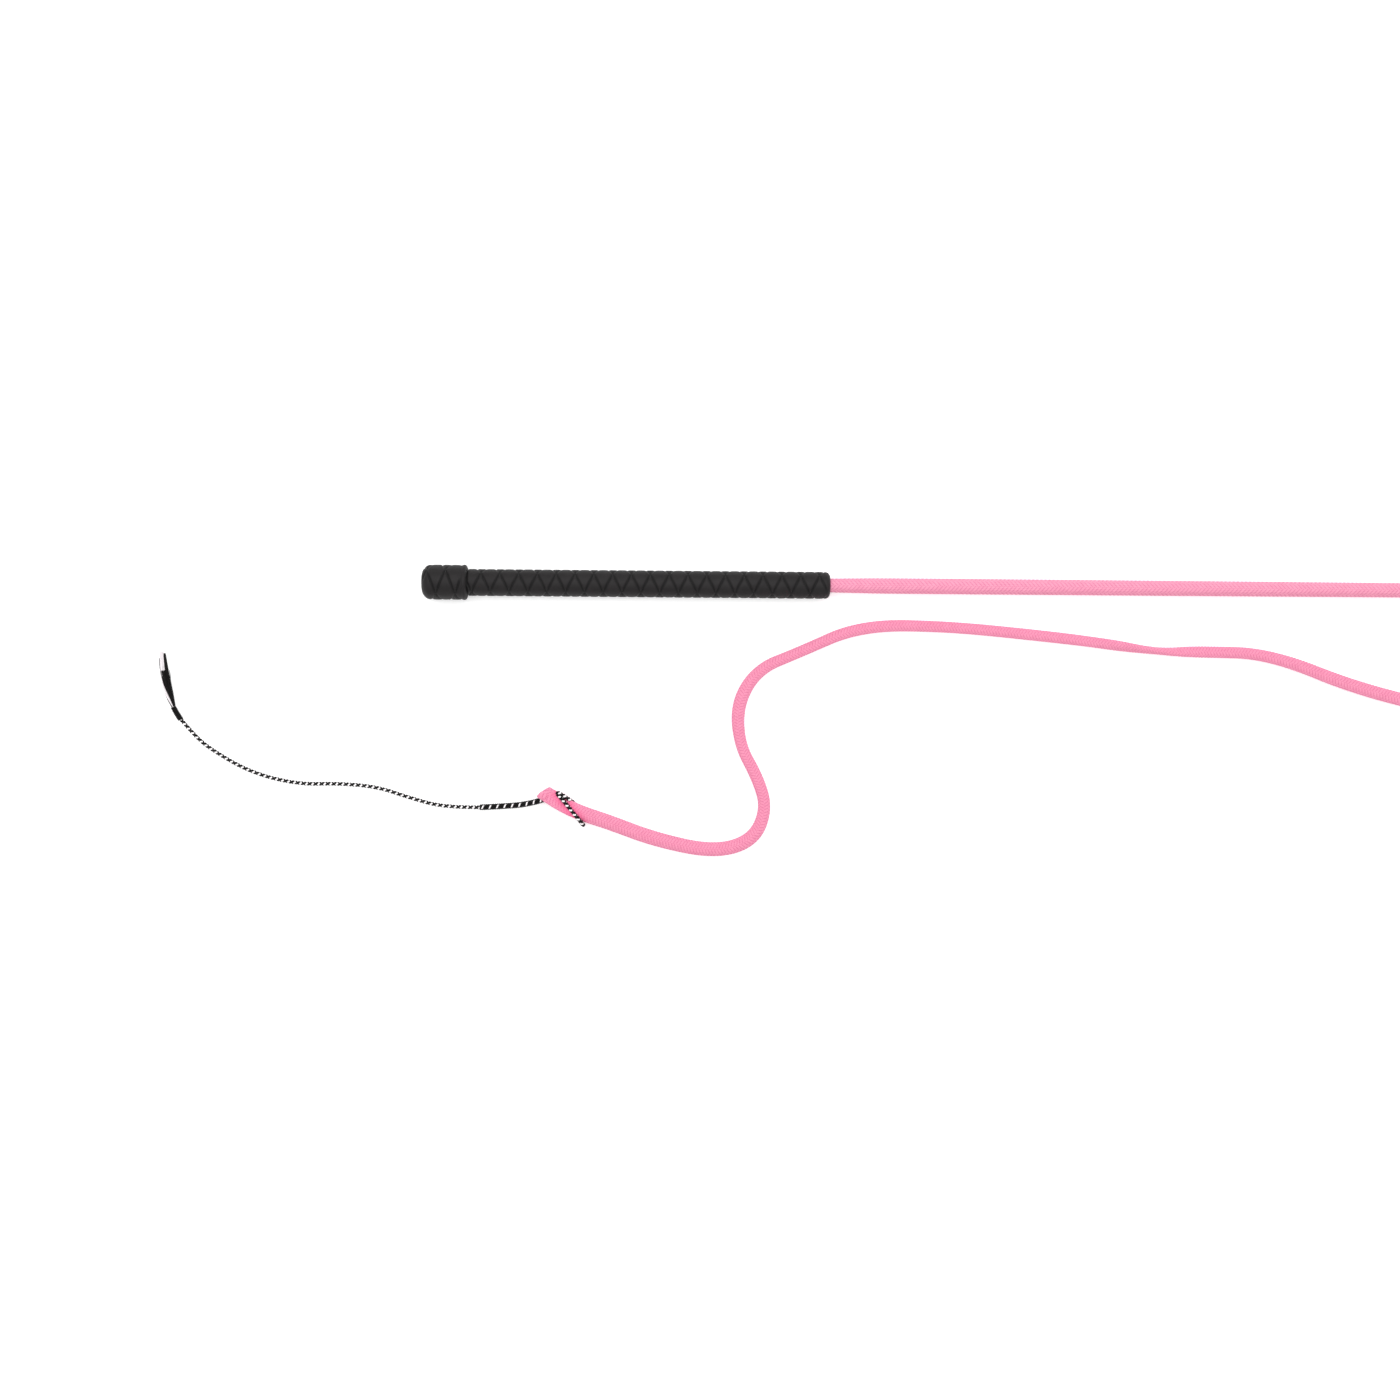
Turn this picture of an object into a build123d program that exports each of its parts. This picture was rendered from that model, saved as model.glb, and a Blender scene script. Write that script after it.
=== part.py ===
from build123d import *
import math
import os

# A lunge whip lying on a flat surface: a tapered fibreglass rod in a braided cover, with a moulded
# rubber grip and butt cap at one end and a braided lash at the other. The lash lies back beside the
# shaft and ends in an eye. A thin braided cracker with a loose yarn tuft is hitched to the eye.
#
# Millimetres. +X runs along the shaft from butt to tip, +Z is up, and the surface is Z = 0. The
# origin lies under the middle of the handle and shaft, so the shaft's axis is over Y = 0.

# Handle and shaft, measured along the axis from the butt face
overall_length = 1600.0
handle_length = 224.0
cap_length = 25.5
cap_diameter = 19.2
cap_end_wall = 3.6
cap_edge_radius = 4.5
lip_length = 4.4
lip_diameter = 19.5
lip_edge_radius = 1.6
lip_groove_width = 0.6
lip_groove_depth = 0.5
grip_diameter = 14.8
grip_spigot_diameter = 14.0
grip_nose_radius = 3.0
cover_under_grip = 8.0
cover_shoulder_length = 40.0
cover_shoulder_diameter = 9.0
cover_tip_diameter = 4.4
rod_diameter = 6.2
rod_tip_diameter = 2.2
whipping_length = 16.0
whipping_diameter = 5.6
lash_root_length = 8.0

# Clearances
slip_fit = 0.05
end_gap = 0.1

# Lash, a hollow braid pressed oval, modelled round
lash_diameter = 5.4
eye_length = 12.5
eye_width = 8.8
eye_layer = 1.5
eye_gap = 3.4
eye_height = 4.2
eye_fold = (-1533.5, -115.4)
eye_turn = -38.0

# Cracker: its loop round the lash's neck, the spliced cord, the single cord, the end knot, the tuft
loop_diameter = 2.2
loop_centre = (-1517.8, -125.5)
loop_turn = -50.8
loop_straight = 15.5
loop_end_radius = 3.1
splice_diameter = 3.4
cracker_diameter = 2.6
knot_diameter = 3.4
knot_length = 6.8

# Routes are lists of (x, y) points measured from the tip of the shaft. Past its first run the lash
# turns back on the side of -Y, lies beside the shaft, swings out near the grip and ends at the eye.
lash_route = [
    (28, 0), (55, -14), (62, -42), (45, -65), (6, -73), (-60, -63), (-130, -47), (-205, -45),
    (-280, -56), (-355, -70), (-430, -76), (-505, -69), (-580, -55), (-652, -47), (-725, -49),
    (-800, -59), (-875, -71), (-948, -77), (-1015, -69.5), (-1080, -58), (-1132, -36),
    (-1195, -37), (-1255, -25.5), (-1312, -22.5), (-1359, -21.5), (-1393, -39), (-1415.5, -47),
    (-1428, -66), (-1425.5, -89), (-1414.5, -107), (-1409.5, -124), (-1416, -141.5),
    (-1439, -148.5), (-1472, -141.5),
]
# The last points rise over the loop of the cracker: (x, y, height above the resting height)
lash_neck = [(-1498, -132.2, 0.6), (-1515.7, -129.3, 1.5)]

splice_route = [(-1524.2, -114.8, 4.2), (-1533.4, -121.8, 4.0), (-1547, -123.9, 1.7), (-1567, -124.3, 1.7)]
cracker_route = [
    (-1588, -124.72), (-1608, -119.4), (-1626, -112.8), (-1648, -111.8), (-1670, -112.2),
    (-1696, -105), (-1719, -91.5), (-1727, -83.8), (-1732.8, -75.3),
]

# Tuft: each bundle's sections as (distance from the knot, sideways, height, width, thickness).
# Sideways is positive on the side of +X.
tuft_bend = (-1740.8, -58.4)
tuft_aim = (-1743.6, -39.8)
tuft_bundles = {
    "tuft_front_black": [(0, 0.0, 2.5, 1.2, 1.1), (11, 0.2, 2.6, 3.6, 1.3), (20, 0.1, 2.4, 4.4, 1.2)],
    "tuft_white": [(0, -0.75, 0.95, 1.1, 1.1), (15, -1.0, 0.85, 1.9, 1.5), (31, -0.6, 0.8, 1.8, 1.3)],
    "tuft_right_black": [(0, 0.75, 0.95, 1.1, 1.1), (15, 1.2, 0.85, 1.9, 1.5), (30, 1.4, 0.8, 1.8, 1.3)],
    "tuft_left_black": [(0, -1.3, 2.0, 0.5, 0.5), (15, -2.7, 0.8, 0.7, 1.2), (28, -2.1, 0.7, 0.6, 1.0)],
}


def turned(outline):
    """Solid of revolution about the X axis from (distance, radius) points, closed along the axis."""
    first, last = outline[0], outline[-1]
    points = [(first[0], 0)] + outline + [(last[0], 0)]
    return revolve(make_face(Polyline(*points, close=True)), Axis.X)


def cover_outline(grow=0.0):
    """Outer outline of the braided cover, from inside the butt cap to its end in the whipping."""
    start = cap_end_wall + end_gap
    end = overall_length - lash_root_length - end_gap
    under = cover_under_grip / 2 + grow
    shoulder = cover_shoulder_diameter / 2 + grow
    return [
        (start, under),
        (handle_length, under),
        (handle_length + cover_shoulder_length, shoulder),
        (end, cover_tip_diameter / 2 + grow),
    ]


def rod_outline(grow=0.0, extra=0.0):
    """The rod is parallel to the end of the handle, then tapers to the tip."""
    start = cap_end_wall + end_gap - extra
    end = overall_length - lash_root_length - end_gap
    butt, tip = rod_diameter / 2 + grow, rod_tip_diameter / 2 + grow
    return [(start, butt), (handle_length + cover_shoulder_length, butt), (end + extra, tip)]


def rod():
    """Fibreglass core that carries the whip from the cap to the tip."""
    return turned(rod_outline())


def shaft_braid():
    """Braided yarn cover, pulled tight over the whole rod and narrow where the grip squeezes it."""
    return turned(cover_outline()) - turned(rod_outline(slip_fit, extra=end_gap))


def grip_sleeve():
    """Rubber grip: a tube over the covered rod, stepped down where it sits in the butt cap."""
    start = cap_end_wall + end_gap
    radius = grip_diameter / 2
    spigot = turned([(start, grip_spigot_diameter / 2), (cap_length, grip_spigot_diameter / 2)])
    body = turned([(cap_length, radius), (handle_length, radius)])
    nose = body.edges().filter_by(GeomType.CIRCLE).sort_by(Axis.X)[-1]
    body = fillet(nose, min(grip_nose_radius, 0.9 * (radius - cover_under_grip / 2)))
    bore_radius = cover_under_grip / 2 + slip_fit
    bore = turned([(start - end_gap, bore_radius), (handle_length + end_gap, bore_radius)])
    return spigot + body - bore


def butt_cap():
    """Rubber cup over the end of the grip, with a rounded butt and a rolled lip at its mouth."""
    body_length = cap_length - lip_length
    body = turned([(0, cap_diameter / 2), (body_length, cap_diameter / 2)])
    butt_edge = body.edges().filter_by(GeomType.CIRCLE).sort_by(Axis.X)[0]
    body = fillet(butt_edge, cap_edge_radius)
    lip = turned([(body_length, lip_diameter / 2), (cap_length, lip_diameter / 2)])
    lip = fillet(lip.edges().filter_by(GeomType.CIRCLE), lip_edge_radius)
    groove_radius = cap_diameter / 2 - lip_groove_depth
    groove_start = body_length - lip_groove_width
    neck = turned([(groove_start, groove_radius), (body_length + lip_groove_width, groove_radius)])
    trimmed = body & turned([(0, cap_diameter), (groove_start, cap_diameter)])
    bore_radius = grip_spigot_diameter / 2 + slip_fit
    bore = turned([(cap_end_wall, bore_radius), (cap_length + end_gap, bore_radius)])
    return trimmed + neck + lip - bore


def tip_whipping():
    """Thread binding that holds the lash's root against the end of the covered rod."""
    start = overall_length - whipping_length
    outer = turned([(start, whipping_diameter / 2), (overall_length, whipping_diameter / 2)])
    bore = cover_outline(slip_fit)[-2:]
    root_radius = cover_tip_diameter / 2 + slip_fit
    return outer - turned(bore + [(overall_length, root_radius)])


def corner_radii(points):
    """Arc radius at each inner point: as large as its two runs allow."""
    radii = []
    for before, here, after in zip(points, points[1:], points[2:]):
        half_turn = math.radians((here - before).get_angle(after - here)) / 2
        shorter = min((here - before).length, (after - here).length)
        radii.append(0.45 * shorter / math.tan(half_turn))
    return radii


def cord_tube(name, points, diameter):
    """Round tube along straight runs joined by tangent arcs. Its volume is checked as it is made."""
    radii = corner_radii(points)
    path = FilletPolyline(*points, radius=radii)
    section = Plane(origin=path @ 0, z_dir=path % 0) * Circle(diameter / 2)
    tube = sweep(section, path=path)
    expected = math.pi * diameter ** 2 / 4 * path.length
    print(f"{name}: length {path.length:.1f}, volume ratio {tube.volume / expected:.4f}")
    print("  radii", [round(radius, 1) for radius in radii])
    return tube


def on_floor(route, tip, height):
    """Route points, measured from the tip, as vectors at one height."""
    return [Vector(tip.X + x, tip.Y + y, height) for x, y in route]


def eye_plane(tip):
    """Plane through the middle of the eye: X along it from the fold to the lash, Y up."""
    ahead = Vector(1, 0, 0).rotate(Axis.Z, eye_turn)
    origin = Vector(tip.X + eye_fold[0], tip.Y + eye_fold[1], eye_height)
    return Plane(origin=origin, x_dir=ahead, z_dir=ahead.cross(Vector(0, 0, 1)))


def lash(tip, axis_turn):
    """Braided lash: its squeezed root inside the whipping, then the free length to the eye."""
    root = turned([(0, cover_tip_diameter / 2), (lash_root_length, cover_tip_diameter / 2)])
    root = Pos(tip) * Rot(0, axis_turn, 0) * Pos(-lash_root_length, 0, 0) * root
    rest = lash_diameter / 2
    points = [tip] + on_floor(lash_route, tip, rest)
    points += [Vector(tip.X + x, tip.Y + y, rest + rise) for x, y, rise in lash_neck]
    points.append(eye_plane(tip).from_local_coords(Vector(eye_length, 0, 0)))
    return root + cord_tube("lash", points, lash_diameter)


def lash_eye(tip):
    """Eye at the lash's end: the flat braid folded back on itself, two layers and the fold."""
    height = 2 * eye_layer + eye_gap
    fold = height / 2
    straight = Pos((fold + eye_length) / 2, 0) * Rectangle(eye_length - fold, height)
    outline = straight + Pos(fold, 0) * Circle(fold)
    gap_end = eye_length - 2 * eye_layer - eye_gap / 2
    gap = Pos((fold + gap_end) / 2, 0) * SlotCenterToCenter(gap_end - fold, eye_gap)
    return extrude(eye_plane(tip) * (outline - gap), amount=eye_width / 2, both=True)


def cracker_loop(tip):
    """Loop of the cracker's cord, pulled tight round the neck of the lash as a girth hitch."""
    along = Vector(1, 0, 0).rotate(Axis.Z, loop_turn)
    height = loop_diameter / 2 + loop_end_radius
    centre = Vector(tip.X + loop_centre[0], tip.Y + loop_centre[1], height)
    plane = Plane(origin=centre, x_dir=along, z_dir=along.cross(Vector(0, 0, 1)))
    path = (plane * SlotCenterToCenter(loop_straight, 2 * loop_end_radius)).wire()
    section = Plane(origin=path @ 0, z_dir=path % 0) * Circle(loop_diameter / 2)
    return sweep(section, path=path)


def cracker_splice(tip):
    """Both legs of the loop spliced into one thick cord, from inside the eye to the single cord."""
    points = [Vector(tip.X + x, tip.Y + y, height) for x, y, height in splice_route]
    return cord_tube("cracker_splice", points, splice_diameter)


def cracker_cord(tip):
    """Single braided cord from the splice to the end knot."""
    start = splice_route[-1]
    points = on_floor([start[:2]] + cracker_route, tip, cracker_diameter / 2)
    return cord_tube("cracker_cord", points, cracker_diameter)


def knot_ends(tip):
    """Start and end of the end knot, in line with the last run of the cord."""
    before, start = on_floor(cracker_route[-2:], tip, knot_diameter / 2)
    return start, start + (start - before).normalized() * knot_length


def cracker_knot(tip):
    """Turns of thread that stop the braid and hold the yarn tuft."""
    start, end = knot_ends(tip)
    return extrude(Plane(origin=start, z_dir=end - start) * Circle(knot_diameter / 2), knot_length)


def tuft_bundle(sections, tip):
    """One bundle of loose yarn, lofted through its sections along the line of the tuft."""
    start, end = knot_ends(tip)
    root = Vector(end.X, end.Y, 0)
    line = Spline(
        root,
        Vector(tip.X + tuft_bend[0], tip.Y + tuft_bend[1], 0),
        Vector(tip.X + tuft_aim[0], tip.Y + tuft_aim[1], 0),
        tangents=[end - start, Vector(0, 1, 0)],
    )
    faces = []
    for distance, sideways, height, width, thickness in sections:
        ahead = line % (distance / line.length) if distance else (end - start).normalized()
        across = Vector(ahead.Y, -ahead.X, 0)
        origin = line @ (distance / line.length) + across * sideways + Vector(0, 0, height)
        faces.append(Plane(origin=origin, x_dir=across, z_dir=ahead) * Ellipse(width / 2, thickness / 2))
    return loft(faces)


# The whip rests on the lip of its cap and on the whipping at its tip, so its axis slopes a little.
lip_crest = cap_length - lip_length / 2
slope = math.degrees(math.atan2((lip_diameter - whipping_diameter) / 2, overall_length - lip_crest))
sloped = {
    "rod": Rot(0, slope, 0) * rod(),
    "shaft_braid": Rot(0, slope, 0) * shaft_braid(),
    "grip_sleeve": Rot(0, slope, 0) * grip_sleeve(),
    "butt_cap": Rot(0, slope, 0) * butt_cap(),
    "tip_whipping": Rot(0, slope, 0) * tip_whipping(),
}
boxes = [piece.bounding_box() for piece in sloped.values()]
middle = (min(box.min.X for box in boxes) + max(box.max.X for box in boxes)) / 2
settle = Pos(-middle, 0, -min(box.min.Z for box in boxes))
nodes = {name: settle * piece for name, piece in sloped.items()}
tip_point = (settle * Rot(0, slope, 0) * Pos(overall_length, 0, 0)).position
butt_point = (settle * Rot(0, slope, 0) * Pos(0, 0, 0)).position

nodes["lash"] = lash(tip_point, slope)
nodes["lash_eye"] = lash_eye(tip_point)
nodes["cracker_loop"] = cracker_loop(tip_point)
nodes["cracker_splice"] = cracker_splice(tip_point)
nodes["cracker_cord"] = cracker_cord(tip_point)
nodes["cracker_knot"] = cracker_knot(tip_point)
for bundle_name, bundle_sections in tuft_bundles.items():
    nodes[bundle_name] = tuft_bundle(bundle_sections, tip_point)

os.makedirs("parts", exist_ok=True)
for node_name, shape in nodes.items():
    export_step(shape, f"parts/{node_name}.step")
print(f"slope {slope:.4f} degrees")
print(f"butt {tuple(butt_point)} tip {tuple(tip_point)}")
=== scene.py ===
import bpy
import math
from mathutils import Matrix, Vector


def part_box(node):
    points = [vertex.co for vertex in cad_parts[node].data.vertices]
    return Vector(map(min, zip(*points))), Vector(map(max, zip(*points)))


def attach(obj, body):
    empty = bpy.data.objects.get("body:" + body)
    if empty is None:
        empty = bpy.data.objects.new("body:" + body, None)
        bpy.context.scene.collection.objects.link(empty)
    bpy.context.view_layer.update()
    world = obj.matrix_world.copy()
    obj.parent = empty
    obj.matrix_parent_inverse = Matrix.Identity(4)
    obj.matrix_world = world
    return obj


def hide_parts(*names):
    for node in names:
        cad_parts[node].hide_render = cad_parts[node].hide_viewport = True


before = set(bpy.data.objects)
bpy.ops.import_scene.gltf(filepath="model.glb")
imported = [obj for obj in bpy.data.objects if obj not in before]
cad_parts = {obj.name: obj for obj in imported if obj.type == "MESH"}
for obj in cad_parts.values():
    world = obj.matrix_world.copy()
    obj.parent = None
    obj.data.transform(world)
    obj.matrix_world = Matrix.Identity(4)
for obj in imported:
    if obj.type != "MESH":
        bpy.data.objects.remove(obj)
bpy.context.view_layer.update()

# ---------------------------------------------------------------------------------------------
# Rod. The core of the whip is a pultruded glass-fibre rod, ground to a taper. The cover hides it,
# so the rod keeps its own shape and only gets its finish.
# ---------------------------------------------------------------------------------------------
MM = 0.001


def linear(colour):
    """An sRGB colour such as '#ffa0c0' as linear red, green, blue and a full alpha."""
    parts = [int(colour[place:place + 2], 16) / 255 for place in (1, 3, 5)]
    return [part / 12.92 if part < 0.04045 else ((part + 0.055) / 1.055) ** 2.4 for part in parts] + [1]


def add(tree, kind, inputs=(), **settings):
    """Adds one node with its settings. Inputs go by place or by name, as values, sockets or nodes."""
    node = tree.nodes.new(kind)
    for name, value in settings.items():
        setattr(node, name, value)
    pairs = inputs.items() if isinstance(inputs, dict) else enumerate(inputs)
    for place, value in pairs:
        if isinstance(value, bpy.types.Node):
            value = next(out for out in value.outputs if out.enabled)
        if isinstance(value, bpy.types.NodeSocket):
            tree.links.new(value, node.inputs[place])
        elif value is not None:
            node.inputs[place].default_value = value
    return node


def new_material(name):
    """A material of this name with an empty node tree."""
    material = bpy.data.materials.new(name)
    material.use_nodes = True
    material.node_tree.nodes.clear()
    return material


# Pultruded fibreglass: pale straw, with long glass strands drawn coarse enough to show, ground matt
fibreglass = new_material("ground fibreglass rod")
tree = fibreglass.node_tree
strands_per_mm = 2.5
strand_ends_per_mm = 0.03
strand_scale = (strand_ends_per_mm / MM, strands_per_mm / MM, strands_per_mm / MM)
place = add(tree, "ShaderNodeTexCoord")
stretched = add(tree, "ShaderNodeMapping", {"Vector": place.outputs["Object"], "Scale": strand_scale})
strands = add(tree, "ShaderNodeTexNoise", {"Vector": stretched, "Scale": 1.0, "Detail": 3.0})
tint = add(tree, "ShaderNodeMix", {0: strands.outputs[0], 6: linear("#d8d3ba"), 7: linear("#efecdb")},
           data_type="RGBA")
bump = add(tree, "ShaderNodeBump", {"Height": strands.outputs[0], "Strength": 0.3, "Distance": 0.1 * MM})
shader = add(tree, "ShaderNodeBsdfPrincipled",
             {"Base Color": tint.outputs[2], "Roughness": 0.45, "IOR": 1.52, "Normal": bump})
add(tree, "ShaderNodeOutputMaterial", [shader])

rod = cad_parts["rod"]
rod.data.materials.clear()
rod.data.materials.append(fibreglass)

# ---------------------------------------------------------------------------------------------
# Shaft braid. A sleeve of pink polyester yarn, braided tight over the rod: eight rows of slanting
# stitches, each of three plied ends, and every other row leans the other way.
# ---------------------------------------------------------------------------------------------
# The whip rests on the lip of its cap and on the whipping at its tip, so its axis slopes a little
butt_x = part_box("butt_cap")[0].x
tip_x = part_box("tip_whipping")[1].x
lip_radius = 9.75 * MM
whipping_radius = 2.8 * MM
lip_crest = 23.3 * MM
whip_length = tip_x - butt_x
slope = math.atan2(lip_radius - whipping_radius, whip_length - lip_crest)
tip = Vector((tip_x, 0, whipping_radius))
ahead = Vector((math.cos(slope), 0, -math.sin(slope)))


def on_axis(distance, across=0.0, up=0.0):
    """Point on the whip's axis, at a distance in mm from the butt, or beside it."""
    along = tip - ahead * (whip_length - distance * MM)
    return along + Vector((0, across * MM, 0)) + Vector((-ahead.z, 0, ahead.x)) * up * MM


MATH = "ShaderNodeMath"
# Keeps a column's first point out of the column before it, whatever the rounding
rounding_guard = 0.001
# The share of the relief that lies inside the route's half width
groove_share = 0.6
# Joins the sleeve's seam and its two poles
weld_distance = 0.01 * MM


def braid_tree():
    """Geometry Nodes tree: a closed braided sleeve round a route, with real stitches."""
    tree = bpy.data.node_groups.new("braided sleeve", "GeometryNodeTree")
    tree.interface.new_socket("Route", in_out="INPUT", socket_type="NodeSocketGeometry")
    for label in ("Stitch pitch", "Slant", "Relief", "Flatness", "Pressed from", "Pressed over",
                  "Pressed height"):
        tree.interface.new_socket(label, in_out="INPUT", socket_type="NodeSocketFloat")
    for label in ("Rings per stitch", "Columns", "Points per column"):
        tree.interface.new_socket(label, in_out="INPUT", socket_type="NodeSocketInt")
    tree.interface.new_socket("Yarn", in_out="INPUT", socket_type="NodeSocketMaterial")
    tree.interface.new_socket("Braid", in_out="OUTPUT", socket_type="NodeSocketGeometry")
    given = add(tree, "NodeGroupInput").outputs

    # The grid: rings along the route, points around it
    length = add(tree, "GeometryNodeCurveLength", [given["Route"]])
    usable = add(tree, MATH, [length, given["Slant"]], operation="SUBTRACT")
    step = add(tree, MATH, [given["Stitch pitch"], given["Rings per stitch"]], operation="DIVIDE")
    steps = add(tree, MATH, [usable, step], operation="DIVIDE")
    last = add(tree, MATH, [steps], operation="FLOOR")
    around = add(tree, MATH, [given["Columns"], given["Points per column"]], operation="MULTIPLY")
    row = add(tree, MATH, [around, 1], operation="ADD")
    rings = add(tree, MATH, [last, 1], operation="ADD")
    grid = add(tree, "GeometryNodeMeshGrid", [1.0, 1.0, rings, row])
    index = add(tree, "GeometryNodeInputIndex")
    place = add(tree, MATH, [index, row], operation="MODULO")
    start = add(tree, MATH, [index, place], operation="SUBTRACT")
    ring = add(tree, MATH, [add(tree, MATH, [start, row], operation="DIVIDE")], operation="ROUND")
    to_end = add(tree, MATH, [last, ring], operation="SUBTRACT")
    nearer_end = add(tree, MATH, [ring, to_end], operation="MINIMUM")
    inside = add(tree, MATH, [nearer_end, 1.0], operation="MINIMUM")

    # Stitches lean one way in even columns and the other way in odd ones
    across = add(tree, MATH, [place, given["Points per column"]], operation="DIVIDE")
    guarded = add(tree, MATH, [across, rounding_guard], operation="ADD")
    column = add(tree, MATH, [guarded], operation="FLOOR")
    part = add(tree, MATH, [across, column], operation="SUBTRACT")
    odd = add(tree, MATH, [column, 2.0], operation="MODULO")
    lean = add(tree, MATH, [add(tree, MATH, [odd, part], operation="SUBTRACT")], operation="ABSOLUTE")
    leaning = add(tree, MATH, [0.5, lean], operation="SUBTRACT")
    slanted = add(tree, MATH, [given["Slant"], leaning], operation="MULTIPLY")
    half_slant = add(tree, MATH, [given["Slant"], 0.5], operation="MULTIPLY")
    middle = add(tree, MATH, [ring, step, half_slant], operation="MULTIPLY_ADD")
    along = add(tree, MATH, [slanted, inside, middle], operation="MULTIPLY_ADD")

    # Each stitch swells between its grooves
    stitch = add(tree, MATH, [ring, given["Rings per stitch"]], operation="DIVIDE")
    staggered = add(tree, MATH, [odd, 0.5, stitch], operation="MULTIPLY_ADD")
    share_of_stitch = add(tree, MATH, [staggered], operation="FRACT")
    phase = add(tree, MATH, [share_of_stitch, math.pi], operation="MULTIPLY")
    swell = add(tree, MATH, [phase], operation="SINE")
    bow = add(tree, MATH, [add(tree, MATH, [part, math.pi], operation="MULTIPLY")], operation="SINE")
    crown = add(tree, MATH, [bow, 0.5], operation="POWER")
    height = add(tree, MATH, [swell, crown, -groove_share], operation="MULTIPLY_ADD")

    route = add(tree, "GeometryNodeSampleCurve",
                {"Curves": given["Route"], "Value": add(tree, "GeometryNodeInputRadius"), "Length": along},
                mode="LENGTH")
    width = route.outputs["Value"]
    turns = add(tree, MATH, [place, around], operation="DIVIDE")
    turn = add(tree, MATH, [turns, 2 * math.pi], operation="MULTIPLY")
    half_width = add(tree, MATH, [given["Relief"], height, width], operation="MULTIPLY_ADD")
    oval = add(tree, MATH, [width, given["Flatness"]], operation="MULTIPLY")
    pressed_to = add(tree, MATH, [given["Pressed from"], given["Pressed over"]], operation="ADD")
    pressed = add(tree, "ShaderNodeMapRange",
                  [along, given["Pressed from"], pressed_to, oval, given["Pressed height"]],
                  interpolation_type="SMOOTHSTEP")
    half_height = add(tree, MATH, [given["Relief"], height, pressed], operation="MULTIPLY_ADD")
    cosine = add(tree, MATH, [turn], operation="COSINE")
    sine = add(tree, MATH, [turn], operation="SINE")
    beside = add(tree, MATH, [cosine, half_width], operation="MULTIPLY")
    above = add(tree, MATH, [sine, half_height], operation="MULTIPLY")
    side = add(tree, MATH, [beside, inside], operation="MULTIPLY")
    rise = add(tree, MATH, [above, inside], operation="MULTIPLY")
    up = add(tree, "ShaderNodeVectorMath", [route.outputs["Normal"], route.outputs["Tangent"]],
             operation="CROSS_PRODUCT")
    sideways = add(tree, "ShaderNodeVectorMath", {0: route.outputs["Normal"], 3: side}, operation="SCALE")
    upwards = add(tree, "ShaderNodeVectorMath", {0: up, 3: rise}, operation="SCALE")
    offset = add(tree, "ShaderNodeVectorMath", [sideways, upwards], operation="ADD")
    spot = add(tree, "ShaderNodeVectorMath", [route.outputs["Position"], offset], operation="ADD")

    # The UV map counts columns across and stitches along
    stitches = add(tree, MATH, [last, given["Rings per stitch"]], operation="DIVIDE")
    apart = add(tree, "ShaderNodeSeparateXYZ", [grid.outputs["UV Map"]])
    columns_across = add(tree, MATH, [apart.outputs[1], given["Columns"]], operation="MULTIPLY")
    stitches_along = add(tree, MATH, [apart.outputs[0], stitches], operation="MULTIPLY")
    count = add(tree, "ShaderNodeCombineXYZ", [columns_across, stitches_along, 0.0])
    mapped = add(tree, "GeometryNodeStoreNamedAttribute",
                 {"Geometry": grid.outputs["Mesh"], "Name": "UVMap", "Value": count},
                 data_type="FLOAT2", domain="CORNER")
    placed = add(tree, "GeometryNodeSetPosition", {"Geometry": mapped, "Position": spot})
    closed = add(tree, "GeometryNodeMergeByDistance", {"Geometry": placed, "Distance": weld_distance})
    smooth = add(tree, "GeometryNodeSetShadeSmooth", [closed])
    real = add(tree, "GeometryNodeRealizeInstances", [smooth])
    dyed = add(tree, "GeometryNodeSetMaterial", {"Geometry": real, "Material": given["Yarn"]})
    add(tree, "NodeGroupOutput", [dyed])
    return tree


def new_piece(name, data):
    """An object of this name in the scene, at the origin."""
    piece = bpy.data.objects.new(name, data)
    bpy.context.scene.collection.objects.link(piece)
    return piece


def route_curve(name, points, half_widths=None, turns=None):
    """Smooth NURBS route through control points in metres, with a half width and a twist at each."""
    curve = bpy.data.curves.new(name, "CURVE")
    curve.dimensions = "3D"
    curve.resolution_u = 16
    curve.twist_mode = "MINIMUM"
    spline = curve.splines.new("NURBS")
    spline.points.add(len(points) - 1)
    for number, (point, spot) in enumerate(zip(spline.points, points)):
        point.co = (*spot, 1)
        point.radius = half_widths[number] if half_widths else 1.0
        point.tilt = math.radians(turns[number]) if turns else 0.0
    spline.order_u = 3
    spline.use_endpoint_u = True
    return new_piece(name, curve)


def line_of(route):
    """The points along a route's smooth line, in metres."""
    mesh = bpy.data.meshes.new_from_object(route)
    return [tuple(vertex.co) for vertex in mesh.vertices]


def grown(name, route, tree, **values):
    """Runs a tree on a route with its inputs by name, and keeps only the result, as a plain mesh."""
    modifier = route.modifiers.new("tree", "NODES")
    modifier.node_group = tree
    for socket in tree.interface.items_tree:
        label = socket.name.lower().replace(" ", "_")
        if socket.in_out == "INPUT" and label in values:
            modifier[socket.identifier] = values.pop(label)
    assert not values, values
    route.update_tag()
    ready = route.evaluated_get(bpy.context.evaluated_depsgraph_get())
    mesh = bpy.data.meshes.new_from_object(ready)
    mesh.name = name
    bpy.data.objects.remove(route)
    return new_piece(name, mesh)


plied_ends = 3
# Ridges along each stitch: a real end has dozens of filaments, too fine to show
filaments_per_stitch = 4
edge_sharpness = 2.4
end_share = 0.55
groove_shade = 0.8
own_shade = 0.16


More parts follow.
